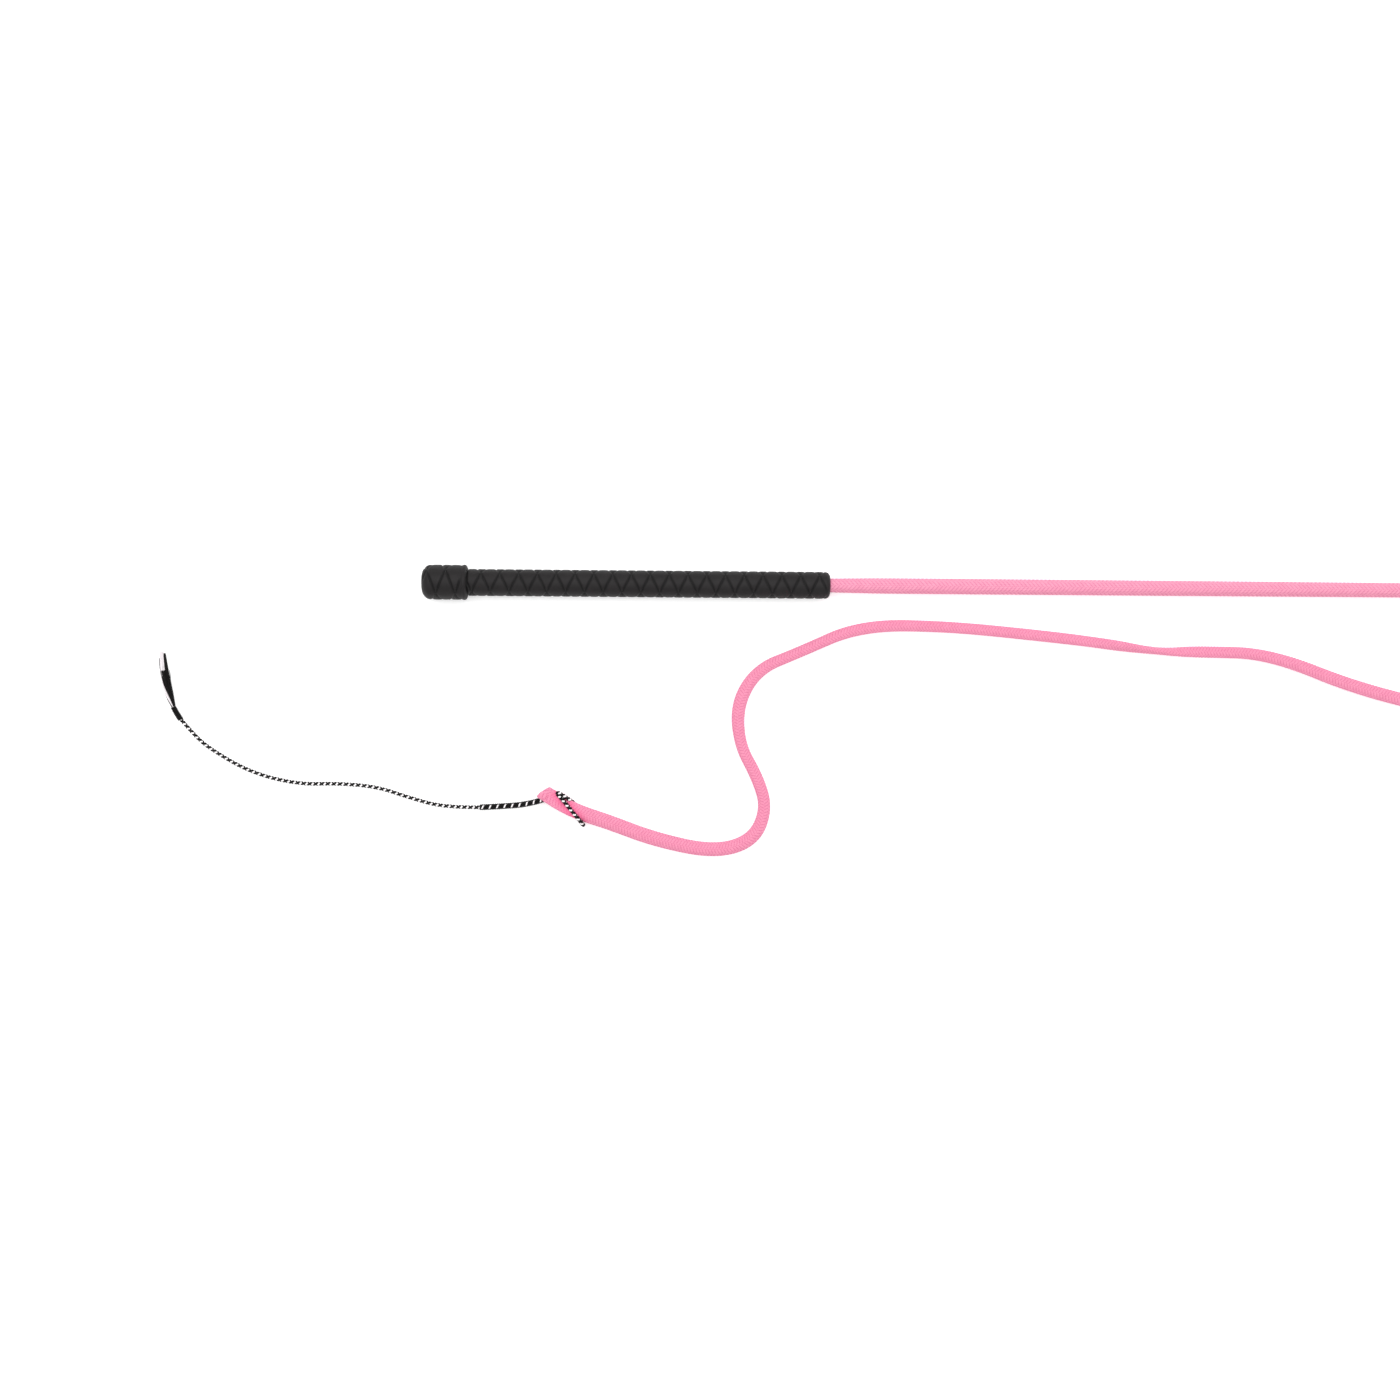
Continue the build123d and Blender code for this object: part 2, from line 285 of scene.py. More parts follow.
def braid_yarn(name, light, deep, roughness):
    """Braided polyester: soft matt stitches of plied ends, painted darker between them as painted shade,
    with fine filaments.
    """
    material = new_material(name)
    tree = material.node_tree
    uv = add(tree, "ShaderNodeSeparateXYZ", [add(tree, "ShaderNodeUVMap", uv_map="UVMap")])
    across, along = uv.outputs[0], uv.outputs[1]
    column = add(tree, MATH, [across], operation="FLOOR")
    odd = add(tree, MATH, [column, 2.0], operation="MODULO")
    count = add(tree, MATH, [odd, 0.5, along], operation="MULTIPLY_ADD")
    phase = add(tree, MATH, [count], operation="FRACT")
    ends = add(tree, MATH, [across, plied_ends], operation="MULTIPLY")
    end = add(tree, MATH, [ends], operation="FRACT")

    # How near a point is to the edge of its stitch, and to the edge of its plied end
    from_crown = add(tree, MATH, [phase, 2.0, -1.0], operation="MULTIPLY_ADD")
    from_middle = add(tree, MATH, [end, 2.0, -1.0], operation="MULTIPLY_ADD")
    to_stitch_edge = add(tree, MATH, [from_crown], operation="ABSOLUTE")
    to_end_edge = add(tree, MATH, [from_middle], operation="ABSOLUTE")
    stitch_falls = add(tree, MATH, [to_stitch_edge, edge_sharpness], operation="POWER")
    end_falls = add(tree, MATH, [to_end_edge, edge_sharpness], operation="POWER")
    falls = add(tree, MATH, [end_falls, end_share, stitch_falls], operation="MULTIPLY_ADD")
    # Painted shade: near the edges of each stitch and plied end the colour is mixed towards the darker
    # colour, standing in for the shade in the grooves between them
    groove = add(tree, "ShaderNodeMapRange", [falls, 0.1, 1.4, 0.0, groove_shade],
                 interpolation_type="SMOOTHSTEP")
    own_place = add(tree, "ShaderNodeCombineXYZ", [
        add(tree, MATH, [ends], operation="FLOOR"),
        add(tree, MATH, [count], operation="FLOOR"),
        0.0,
    ])
    own = add(tree, "ShaderNodeTexWhiteNoise", [own_place], noise_dimensions="3D")
    # The mix takes each stitch's own random tone together with the painted groove shade
    shade = add(tree, MATH, [own.outputs[0], own_shade, groove], operation="MULTIPLY_ADD")
    dyed = add(tree, "ShaderNodeMix", {0: shade, 6: linear(light), 7: linear(deep)}, data_type="RGBA")

    # Painted shade: where the loop squeezes the braid into a crease, the colour is mixed towards a deeper
    # pink that stands in for the shade in the crease
    crease = add(tree, "ShaderNodeAttribute", attribute_name="crease")
    colour = add(tree, "ShaderNodeMix",
                 {0: crease.outputs["Fac"], 6: dyed.outputs[2], 7: linear("#ee5a8c")}, data_type="RGBA")
    filament_turn = add(tree, MATH, [phase, 2 * math.pi * filaments_per_stitch], operation="MULTIPLY")
    filaments = add(tree, MATH, [filament_turn], operation="SINE")
    fuzz = add(tree, "ShaderNodeBump", {"Height": filaments, "Strength": 0.3, "Distance": 0.08 * MM})
    shader = add(tree, "ShaderNodeBsdfPrincipled", {
        "Base Color": colour.outputs[2], "Roughness": roughness, "IOR": 1.5,
        "Specular IOR Level": 0.3, "Sheen Weight": 0.2, "Sheen Roughness": 0.4, "Normal": fuzz,
    })
    add(tree, "ShaderNodeOutputMaterial", [shader])
    return material


sleeve = braid_tree()
shaft_yarn = braid_yarn("braided polyester yarn, shaft", "#e798b1", "#c8648a", 0.8)

# Further than any route is long, in metres: nothing on the sleeve is pressed flat
past_the_end = 9.0
# Places along the axis and the sleeve's radius there, in mm
shaft_places = (212, 224, 230, 264, 900, 1588)
shaft_radii = (3.75, 3.85, 4.0, 4.5, 3.45, 2.25)
route = route_curve("shaft route", [on_axis(distance) for distance in shaft_places],
                    [radius * MM for radius in shaft_radii])
shaft = grown("braided_shaft", route, sleeve, stitch_pitch=2.25 * MM, slant=2.6 * MM, relief=0.22 * MM,
              flatness=1.0, pressed_from=past_the_end, rings_per_stitch=4, columns=8, points_per_column=4,
              yarn=shaft_yarn)
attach(shaft, "root")
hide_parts("shaft_braid")

# ---------------------------------------------------------------------------------------------
# Grip sleeve and butt cap. Both are moulded in charcoal rubber, with a criss-cross of helical
# grooves that leaves low puffy lozenges. The grip is pushed over the covered rod, and the cap, a
# cup with a rolled lip, over the end of the grip.
# ---------------------------------------------------------------------------------------------
# The grooves, the puff of rubber between them and the length over which they fade out, in mm
groove_depth = 0.6
groove_width = 0.56
puff_depth = 0.04
puff_reach = 1.1
fade_reach = 1.0
# Nearer the axis than this, the grooves on the butt face come no closer together
hub_radius = 1.0


def groove_at(distance, turn, radius, lead, crossing, crossing_turn):
    """How deep the two families of helical grooves are at a point, from 0 to 1, and the puff there."""
    wound = 360.0 / lead * (distance - crossing)
    girth = 2 * math.pi * radius
    spacing = lead / 2 * girth / math.hypot(girth, lead)
    nearest = spacing
    for sense in (1, -1):
        cycles = (turn - crossing_turn - sense * wound) / 180.0
        nearest = min(nearest, abs(cycles - round(cycles)) * spacing)
    return math.exp(-((nearest / groove_width) ** 2)), math.exp(-((nearest / puff_reach) ** 2))


def moulded(name, outline, rings_apart, around, lead, crossing, crossing_turn, plain, ring_groove=None):
    """Turned rubber skin from (distance, radius) points in mm, with helical grooves that fade out at
    the plain spans, and one groove straight round where ring_groove gives its place."""
    rings = []
    for (x0, r0), (x1, r1) in zip(outline, outline[1:]):
        run = math.hypot(x1 - x0, r1 - r0)
        pieces = max(1, round(run / rings_apart))
        normal = (-(r1 - r0) / run, (x1 - x0) / run)
        rings += [(x0 + (x1 - x0) * n / pieces, r0 + (r1 - r0) * n / pieces, normal) for n in range(pieces)]
    rings.append((*outline[-1], normal))
    vertices, groove_shade_marks, faces = [], [], []
    for distance, radius, normal in rings[1:-1]:
        to_plain = min(max(start - distance, distance - end, 0.0) for start, end in plain)
        faded = min(1.0, to_plain / fade_reach)
        for number in range(around):
            turn = 360.0 * number / around
            cut, puff = groove_at(distance, turn, max(radius, hub_radius), lead, crossing, crossing_turn)
            cut, puff = cut * faded, puff * faded
            if ring_groove:
                cut = max(cut, math.exp(-(((distance - ring_groove) / groove_width) ** 2)))
            sunk = cut * groove_depth + puff * puff_depth
            x, r = distance - normal[0] * sunk, radius - normal[1] * sunk
            angle = math.radians(turn)
            vertices.append(on_axis(x, r * math.sin(angle), r * math.cos(angle)))
            # How far a point lies in a groove, kept for the rubber's painted shade, which turns the grooves
            # near-black
            groove_shade_marks.append(cut)
    count = len(rings) - 2
    for ring in range(count - 1):
        for number in range(around):
            after = (number + 1) % around
            low, high = ring * around, (ring + 1) * around
            faces.append((low + number, high + number, high + after, low + after))
    for ring, centre, forwards in ((0, outline[0], True), (count - 1, outline[-1], False)):
        vertices.append(on_axis(centre[0]))
        groove_shade_marks.append(0.0)
        hub = len(vertices) - 1
        for number in range(around):
            edge = [ring * around + number, ring * around + (number + 1) % around]
            faces.append((hub, *edge) if forwards else (hub, *reversed(edge)))
    mesh = bpy.data.meshes.new(name)
    mesh.from_pydata([tuple(vertex) for vertex in vertices], [], faces)
    mesh.shade_smooth()
    mesh.attributes.new("groove", "FLOAT", "POINT").data.foreach_set("value", groove_shade_marks)
    return new_piece(name, mesh)


def arc(centre_x, centre_r, radius, start, end, steps=8):
    """Points of an arc in the (distance, radius) plane, angles in degrees from the +X side."""
    turns = [math.radians(start + (end - start) * n / steps) for n in range(steps + 1)]
    return [(centre_x + radius * math.cos(a), centre_r + radius * math.sin(a)) for a in turns]


# Moulded thermoplastic rubber: charcoal, matt, with a fine spark-eroded grain, and painted near-black in
# its grooves as painted shade
grip_rubber = new_material("moulded charcoal rubber")
tree = grip_rubber.node_tree
grains_per_mm = 1.8
clouds_per_mm = 0.22
place = add(tree, "ShaderNodeTexCoord")
painted_groove_shade = add(tree, "ShaderNodeAttribute", attribute_name="groove")
grain = add(tree, "ShaderNodeTexNoise",
            {"Vector": place.outputs["Object"], "Scale": grains_per_mm / MM, "Detail": 3.0})
cloud = add(tree, "ShaderNodeTexNoise",
            {"Vector": place.outputs["Object"], "Scale": clouds_per_mm / MM, "Detail": 4.0})
plain = add(tree, "ShaderNodeMix", {0: cloud.outputs[0], 6: linear("#0d0b0c"), 7: linear("#201d1e")},
            data_type="RGBA")
# Painted shade: near-black where the groove attribute marks a groove
colour = add(tree, "ShaderNodeMix", {0: painted_groove_shade.outputs["Fac"], 6: plain.outputs[2], 7: linear("#030303")},
             data_type="RGBA")
bump = add(tree, "ShaderNodeBump", {"Height": grain.outputs[0], "Strength": 0.45, "Distance": 0.15 * MM})
shader = add(tree, "ShaderNodeBsdfPrincipled",
             {"Base Color": colour.outputs[2], "Roughness": 0.6, "IOR": 1.5, "Specular IOR Level": 0.25,
              "Normal": bump})
add(tree, "ShaderNodeOutputMaterial", [shader])

grip_start, grip_end = 24.0, 224.0
grip_radius = 7.4
nose_radius = 3.0
nose = arc(grip_end - nose_radius, grip_radius - nose_radius, nose_radius, 90, 0)
grip_outline = [(grip_start, 0.0), (grip_start, grip_radius)] + nose + [(grip_end, 0.0)]
grip = moulded("moulded_grip", grip_outline, rings_apart=0.33, around=140, lead=20.56, crossing=27.7,
               crossing_turn=-46.0, plain=[(15.0, 24.5), (222.5, 226.0)], ring_groove=25.1)
grip.data.materials.append(grip_rubber)
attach(grip, "root")
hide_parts("grip_sleeve")

cap_radius = 9.6
butt_edge_radius = 5.1
lip_edge_radius = 1.6
butt_face = [(0.0, 0.0), (0.15, 2.6), (0.5, 4.4)]
butt_edge = arc(5.3, cap_radius - butt_edge_radius, butt_edge_radius, 168, 90)
lip = arc(lip_crest / MM, lip_radius / MM - lip_edge_radius, lip_edge_radius, 125, -60)
mouth = [(23.5, 7.5), (23.5, 0.0)]
cap = moulded("moulded_cap", butt_face + butt_edge + [(21.0, 9.55)] + lip + mouth, rings_apart=0.26,
              around=176, lead=21.0, crossing=8.5, crossing_turn=-45.0, plain=[(-3.0, 0.6), (22.3, 28.0)])
cap.data.materials.append(grip_rubber)
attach(cap, "root")
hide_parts("butt_cap")

# ---------------------------------------------------------------------------------------------
# Tip whipping. Waxed polyester thread, wound tight round the end of the covered rod and the root
# of the lash, turn beside turn.
# ---------------------------------------------------------------------------------------------


def strand_tree():
    """Geometry Nodes tree: strands wound or plaited round a route, each passing over and under."""
    tree = bpy.data.node_groups.new("plaited strands", "GeometryNodeTree")
    tree.interface.new_socket("Route", in_out="INPUT", socket_type="NodeSocketGeometry")
    for label in ("Lead", "Start turn", "Over at", "Wound radius", "Over and under", "Strand radius",
                  "Sample length"):
        tree.interface.new_socket(label, in_out="INPUT", socket_type="NodeSocketFloat")
    for label in ("Strands", "White strands", "Sides", "Both ways"):
        tree.interface.new_socket(label, in_out="INPUT", socket_type="NodeSocketInt")
    tree.interface.new_socket("Thread", in_out="INPUT", socket_type="NodeSocketMaterial")
    tree.interface.new_socket("Cord", in_out="OUTPUT", socket_type="NodeSocketGeometry")
    given = add(tree, "NodeGroupInput").outputs
    fine = add(tree, "GeometryNodeResampleCurve",
               {"Curve": given["Route"], "Length": given["Sample length"]}, mode="LENGTH")
    copies = add(tree, "GeometryNodeDuplicateElements",
                 {"Geometry": fine, "Amount": given["Strands"]}, domain="SPLINE")
    number = copies.outputs["Duplicate Index"]

    # Strands take turns: one winds one way, the next winds the other way where both ways is 1
    ways = add(tree, MATH, [1.0, given["Both ways"]], operation="ADD")
    second = add(tree, MATH, [number, ways], operation="MODULO")
    sense = add(tree, MATH, [second, -2.0, 1.0], operation="MULTIPLY_ADD")
    first_of_pair = add(tree, MATH, [number, second], operation="SUBTRACT")
    share = add(tree, MATH, [first_of_pair, given["Strands"]], operation="DIVIDE")
    along = add(tree, "GeometryNodeSplineParameter").outputs["Length"]
    wound = add(tree, MATH, [along, given["Lead"]], operation="DIVIDE")
    turns = add(tree, MATH, [wound, sense, share], operation="MULTIPLY_ADD")
    turn = add(tree, MATH, [turns, 2 * math.pi, given["Start turn"]], operation="MULTIPLY_ADD")
    past_crest = add(tree, MATH, [turn, given["Over at"]], operation="SUBTRACT")
    twice = add(tree, MATH, [past_crest, 2.0], operation="MULTIPLY")
    wave = add(tree, MATH, [add(tree, MATH, [twice], operation="COSINE"), sense], operation="MULTIPLY")
    out = add(tree, MATH, [given["Over and under"], wave, given["Wound radius"]], operation="MULTIPLY_ADD")
    reach = add(tree, MATH, [add(tree, "GeometryNodeInputRadius"), out], operation="MULTIPLY")
    cosine = add(tree, MATH, [turn], operation="COSINE")
    sine = add(tree, MATH, [turn], operation="SINE")
    side = add(tree, MATH, [cosine, reach], operation="MULTIPLY")
    rise = add(tree, MATH, [sine, reach], operation="MULTIPLY")
    normal = add(tree, "GeometryNodeInputNormal")
    up = add(tree, "ShaderNodeVectorMath", [normal, add(tree, "GeometryNodeInputTangent")],
             operation="CROSS_PRODUCT")
    sideways = add(tree, "ShaderNodeVectorMath", {0: normal, 3: side}, operation="SCALE")
    upwards = add(tree, "ShaderNodeVectorMath", {0: up, 3: rise}, operation="SCALE")
    offset = add(tree, "ShaderNodeVectorMath", [sideways, upwards], operation="ADD")
    white = add(tree, "FunctionNodeCompare", {0: number, 1: given["White strands"]},
                data_type="FLOAT", operation="LESS_THAN")
    marked = add(tree, "GeometryNodeStoreNamedAttribute",
                 {"Geometry": copies, "Name": "white", "Value": white}, data_type="FLOAT", domain="POINT")
    laid = add(tree, "GeometryNodeSetPosition", {"Geometry": marked, "Offset": offset})
    even = add(tree, "GeometryNodeSetCurveRadius", {"Curve": laid, "Radius": 1.0})
    section = add(tree, "GeometryNodeCurvePrimitiveCircle", {"Resolution": given["Sides"], "Radius": 1.0})
    tube = add(tree, "GeometryNodeCurveToMesh", {
        "Curve": even, "Profile Curve": section, "Scale": given["Strand radius"], "Fill Caps": True})
    smooth = add(tree, "GeometryNodeSetShadeSmooth", [tube])
    real = add(tree, "GeometryNodeRealizeInstances", [smooth])
    dyed = add(tree, "GeometryNodeSetMaterial", {"Geometry": real, "Material": given["Thread"]})
    add(tree, "NodeGroupOutput", [dyed])
    return tree


fibres_per_mm = 5.0


def filament_thread(name, dye, tracer, roughness):
    """Multifilament thread, dyed through, with a fine fibre relief. White strands take the tracer."""
    material = new_material(name)
    tree = material.node_tree
    place = add(tree, "ShaderNodeTexCoord")
    fibres = add(tree, "ShaderNodeTexNoise",
                 {"Vector": place.outputs["Object"], "Scale": fibres_per_mm / MM, "Detail": 2.0})
    mark = add(tree, "ShaderNodeAttribute", attribute_name="white")
    colour = add(tree, "ShaderNodeMix", {0: mark.outputs["Fac"], 6: linear(dye), 7: linear(tracer)},
                 data_type="RGBA")
    bump = add(tree, "ShaderNodeBump", {"Height": fibres.outputs[0], "Strength": 0.4, "Distance": 0.1 * MM})
    shader = add(tree, "ShaderNodeBsdfPrincipled", {
        "Base Color": colour.outputs[2], "Roughness": roughness, "IOR": 1.53, "Specular IOR Level": 0.15,
        "Normal": bump,
    })
    add(tree, "ShaderNodeOutputMaterial", [shader])
    return material


plaited = strand_tree()
# Waxed polyester thread: a deeper pink than the braid, with a low shine
pink_thread = filament_thread("waxed pink thread", "#e8709c", "#ffffff", 0.5)
whipping_places = (1584.2, 1590, 1595, 1599.8)
route = route_curve("whipping route", [on_axis(distance) for distance in whipping_places])
whipping = grown("thread_whipping", route, plaited, lead=0.5 * MM, wound_radius=2.5 * MM,
                 over_and_under=0.0, strand_radius=0.3 * MM, sample_length=0.022 * MM, strands=1,
                 white_strands=0, sides=6, both_ways=0, thread=pink_thread)
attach(whipping, "root")
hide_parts("tip_whipping")

# ---------------------------------------------------------------------------------------------
# Lash. A soft hollow braid of the same yarn, pressed oval, whipped to the tip of the shaft. It
# lies back beside the shaft in loose curves, rolls over once, and ends folded into an eye.
# ---------------------------------------------------------------------------------------------
# The same yarn as the shaft's, painted a shade deeper on the lash as painted shade: a shaded copy of the
# shaft's yarn
lash_yarn = braid_yarn("braided polyester yarn, lash", "#e791ad", "#c65a82", 0.8)
# Route from the tip: (x, y, height of its middle, half width, twist), in mm and degrees
lash_route = [
    (0, 0, 2.8, 2.1, 0), (28, 0, 2.7, 2.9, 0), (55, -14, 2.5, 3.3, 0), (62, -42, 2.5, 3.4, 0),
    (45, -65, 2.5, 3.4, 0), (6, -73, 2.5, 3.5, 0), (-60, -63, 2.5, 3.6, 0), (-130, -47, 2.5, 3.6, 0),
    (-205, -45, 2.5, 3.6, 0), (-280, -56, 2.5, 3.6, 0), (-355, -70, 2.5, 3.6, 0),
    (-430, -76, 2.5, 3.6, 0), (-505, -69, 2.5, 3.6, 0), (-580, -55, 2.5, 3.6, 0),
    (-652, -47, 2.5, 3.6, 0), (-725, -49, 2.5, 3.6, 0), (-800, -59, 2.5, 3.6, 0),
    (-875, -71, 2.5, 3.6, 0), (-948, -77, 2.5, 3.6, 0), (-1015, -69.5, 2.5, 3.6, 0),
    (-1080, -55.9, 2.5, 3.8, 0), (-1132, -35.3, 2.5, 3.3, 0), (-1170, -34.6, 2.6, 3.2, 0),
    (-1195, -34.8, 3.15, 3.05, 90), (-1225, -30.3, 2.6, 2.95, 180), (-1255, -26.8, 2.4, 3.2, 180),
    (-1312, -21.5, 2.4, 3.1, 180), (-1359, -21.6, 2.5, 3.4, 180), (-1393, -37, 2.4, 3.1, 180),
    (-1415, -46, 2.5, 3.4, 180), (-1426.5, -65, 2.8, 3.9, 180), (-1425, -88, 2.5, 3.2, 180),
    (-1414.8, -106, 2.6, 3.5, 180), (-1409.5, -123, 2.6, 3.4, 180), (-1416.6, -140.7, 2.9, 4.0, 180),
    (-1438, -147.5, 3.1, 3.9, 180), (-1471, -140.8, 3.1, 4.15, 180), (-1497, -131.2, 3.5, 4.2, 180),
    (-1508.5, -127.6, 4.2, 4.3, 180), (-1516.0, -124.7, 5.1, 4.3, 180),
    (-1523.0, -121.2, 5.6, 4.3, 180), (-1528.2, -117.8, 5.7, 4.5, 180), (-1531.0, -116.0, 5.7, 4.5, 180),
]


def from_tip(x, y, height):
    """Point measured from the tip of the shaft in mm, with its height above the floor."""
    return Vector((tip.x + x * MM, tip.y + y * MM, height * MM))


lash_points = [from_tip(x, y, height) for x, y, height, width, twist in lash_route]
lash_widths = [width * MM for x, y, height, width, twist in lash_route]
lash_twists = [twist for x, y, height, width, twist in lash_route]
route = route_curve("lash route", lash_points, lash_widths, lash_twists)
lash_line = line_of(route)
lash = grown("braided_lash", route, sleeve, stitch_pitch=1.7 * MM, slant=1.2 * MM, relief=0.18 * MM,
             flatness=0.68, pressed_from=1790 * MM, pressed_over=9 * MM, pressed_height=0.9 * MM,
             rings_per_stitch=3, columns=8, points_per_column=3, yarn=lash_yarn)
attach(lash, "root")
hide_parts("lash")

# ---------------------------------------------------------------------------------------------
# Lash eye. The flat end of the braid is folded back under itself and tucked inside itself.
# ---------------------------------------------------------------------------------------------
# The middle of the fold, measured from the tip of the shaft in mm
fold = Vector((-1531.6, -115.8))
eye_turn = math.radians(-37)
eye_along = Vector((math.cos(eye_turn), math.sin(eye_turn)))
eye_across = Vector((-eye_along.y, eye_along.x))
# The tucked end's route: (distance from the fold, aside, height) in mm, and its half widths
eye_path = [(4.0, 0.0, 5.2), (2.0, 0.0, 5.4), (-0.6, 0.0, 5.6), (-1.6, 0.0, 4.4), (-1.5, 0.1, 2.4),
            (-0.4, 0.2, 1.3), (2.5, 0.2, 1.1), (7.0, 0.1, 1.1), (13.0, 0.2, 1.4), (18.0, 0.6, 2.4)]
eye_widths = (3.5, 4.0, 4.5, 4.4, 4.2, 4.1, 4.0, 3.9, 3.5, 2.9)
eye_points = []
for distance, aside, height in eye_path:
    spot = fold + eye_along * distance + eye_across * aside
    eye_points.append(from_tip(spot.x, spot.y, height))
route = route_curve("eye route", eye_points, [width * MM for width in eye_widths])
eye = grown("folded_eye", route, sleeve, stitch_pitch=1.7 * MM, slant=1.2 * MM, relief=0.18 * MM,
            flatness=0.2, pressed_from=past_the_end, rings_per_stitch=4, columns=8, points_per_column=4,
            yarn=lash_yarn)

# The fold is a little oblique: one corner stands further out than the other
fold_skew = 0.3
fold_reach = 7.0
for piece in (lash, eye):
    for vertex in piece.data.vertices:
        from_fold = Vector((vertex.co.x - tip.x, vertex.co.y - tip.y)) / MM - fold
        share = 1.0 - max(0.0, from_fold.dot(eye_along)) / fold_reach
        if share > 0.0 and from_fold.length < 2 * fold_reach:
            moved = eye_along * (fold_skew * share * from_fold.dot(eye_across) * MM)
            vertex.co.x += moved.x
            vertex.co.y += moved.y
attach(eye, "root")
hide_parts("lash_eye")

# ---------------------------------------------------------------------------------------------
# Cracker loop, splice and cord. Thin nylon cord, four strands braided round, three black and one
# white. Its loop is pulled tight round the neck of the lash, and both legs of the loop are spliced
# into one thicker cord before the single cord goes on.
# ---------------------------------------------------------------------------------------------
# Braided nylon: deep black with a soft shine on each strand, and one bright white tracer
black_nylon = filament_thread("braided nylon, black with a white strand", "#050404", "#f4f0f1", 0.5)

loop_points = [
    (-1529.0, -117.4, 3.4), (-1526.0, -115.8, 4.2), (-1523.6, -117.3, 5.9), (-1520.3, -121.1, 6.8),
    (-1516.4, -125.8, 6.9), (-1512.8, -130.2, 6.2), (-1510.4, -133.3, 4.4), (-1511.4, -132.7, 1.9),
    (-1513.8, -129.5, 1.6), (-1515.4, -126.0, 1.6), (-1515.2, -122.3, 1.9), (-1516.4, -120.5, 4.2),
    (-1519.4, -118.3, 5.9), (-1522.8, -116.0, 5.8), (-1525.8, -114.9, 4.6), (-1529.6, -116.7, 3.4),
]
route = route_curve("loop route", [from_tip(*point) for point in loop_points])
loop = grown("hitch_loop", route, plaited, lead=3.2 * MM, start_turn=math.radians(95),
             over_at=math.radians(95), wound_radius=0.5 * MM, over_and_under=0.22 * MM,
             strand_radius=0.53 * MM, sample_length=0.2 * MM, strands=4, white_strands=1, sides=8,
             both_ways=1, thread=black_nylon)
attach(loop, "root")
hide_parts("cracker_loop")

# The pulled loop sinks into the soft braid and creases it, and the braid beside it is painted darker as
# painted shade in the crease
crease_start, crease_end = from_tip(-1524.5, -116.5, 0), from_tip(-1512.0, -131.5, 0)
crease_depth = 1.1 * MM
crease_reach = 3.2 * MM
crease_shade_strength = 0.85
crease_run = crease_end - crease_start
crease_shading = []
for vertex in lash.data.vertices:
    flat = Vector((vertex.co.x, vertex.co.y, 0))
    share = (flat - crease_start).dot(crease_run) / crease_run.length_squared
    nearest = crease_start + crease_run * min(1.0, max(0.0, share))
    strength = math.exp(-(((flat - nearest).length / crease_reach) ** 2))
    vertex.co.z -= crease_depth * strength
    # How much painted shade each point of the crease gets
    crease_shading.append(crease_shade_strength * strength)
lash.data.attributes.new("crease", "FLOAT", "POINT").data.foreach_set("value", crease_shading)

splice_points = [(-1526.5, -116.7, 3.6), (-1533.4, -119.4, 3.6), (-1540, -121.2, 2.4),
                 (-1549, -122.8, 1.75), (-1568, -123.8, 1.7)]
route = route_curve("splice route", [from_tip(*point) for point in splice_points])
splice = grown("spliced_cord", route, plaited, lead=4.1 * MM, start_turn=math.radians(90),
               over_at=math.radians(90), wound_radius=1.02 * MM, over_and_under=0.25 * MM,
               strand_radius=0.42 * MM, sample_length=0.2 * MM, strands=8, white_strands=1, sides=8,
               both_ways=1, thread=black_nylon)
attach(splice, "root")
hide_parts("cracker_splice")

cracker_points = [
    (-1565, -123.8), (-1587, -124.2), (-1607, -118.9), (-1625, -112.9), (-1647, -111.2),
    (-1669, -111.9), (-1695, -105.7), (-1718.2, -92.5), (-1727.2, -84.4), (-1734.4, -76.0),
]
cracker_height = 1.35
route = route_curve("cracker route", [from_tip(x, y, cracker_height) for x, y in cracker_points])
cracker_line = line_of(route)
cracker = grown("plaited_cracker", route, plaited, lead=3.35 * MM, start_turn=math.radians(105),
                over_at=math.radians(105), wound_radius=0.46 * MM, over_and_under=0.22 * MM,
                strand_radius=0.5 * MM, sample_length=0.22 * MM, strands=4, white_strands=1, sides=8,
                both_ways=1, thread=black_nylon)
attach(cracker, "root")
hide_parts("cracker_cord")

# ---------------------------------------------------------------------------------------------
# Cracker knot. Turns of black thread that stop the braid where the yarn tuft comes out.
# ---------------------------------------------------------------------------------------------
knot_points = [(-1734.0, -76.6, 1.6), (-1735.6, -74.2, 1.7), (-1737.0, -71.9, 1.8), (-1738.0, -69.9, 1.8)]
route = route_curve("knot route", [from_tip(*point) for point in knot_points])
knot = grown("wound_knot", route, plaited, lead=0.9 * MM, wound_radius=1.1 * MM, over_and_under=0.0,
             strand_radius=0.5 * MM, sample_length=0.03 * MM, strands=1, white_strands=0, sides=8,
             both_ways=0, thread=black_nylon)
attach(knot, "root")
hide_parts("cracker_knot")

# ---------------------------------------------------------------------------------------------
# Tuft. The strands of the cord, opened into loose filaments: black and white bundles, cut off
# straight at different lengths. They are drawn thicker and fewer than real ones, so that they show.
# ---------------------------------------------------------------------------------------------
guide_steps = 24
filament_sides = 5
# What is drawn by chance for each filament, from low to high
turn_range = (0.0, 2 * math.pi)
spread_range = (0.0, 1.0)
waves_range = (3.0, 9.0)
wave_start_range = (0.0, 6.3)
length_range = (0.965, 1.0)


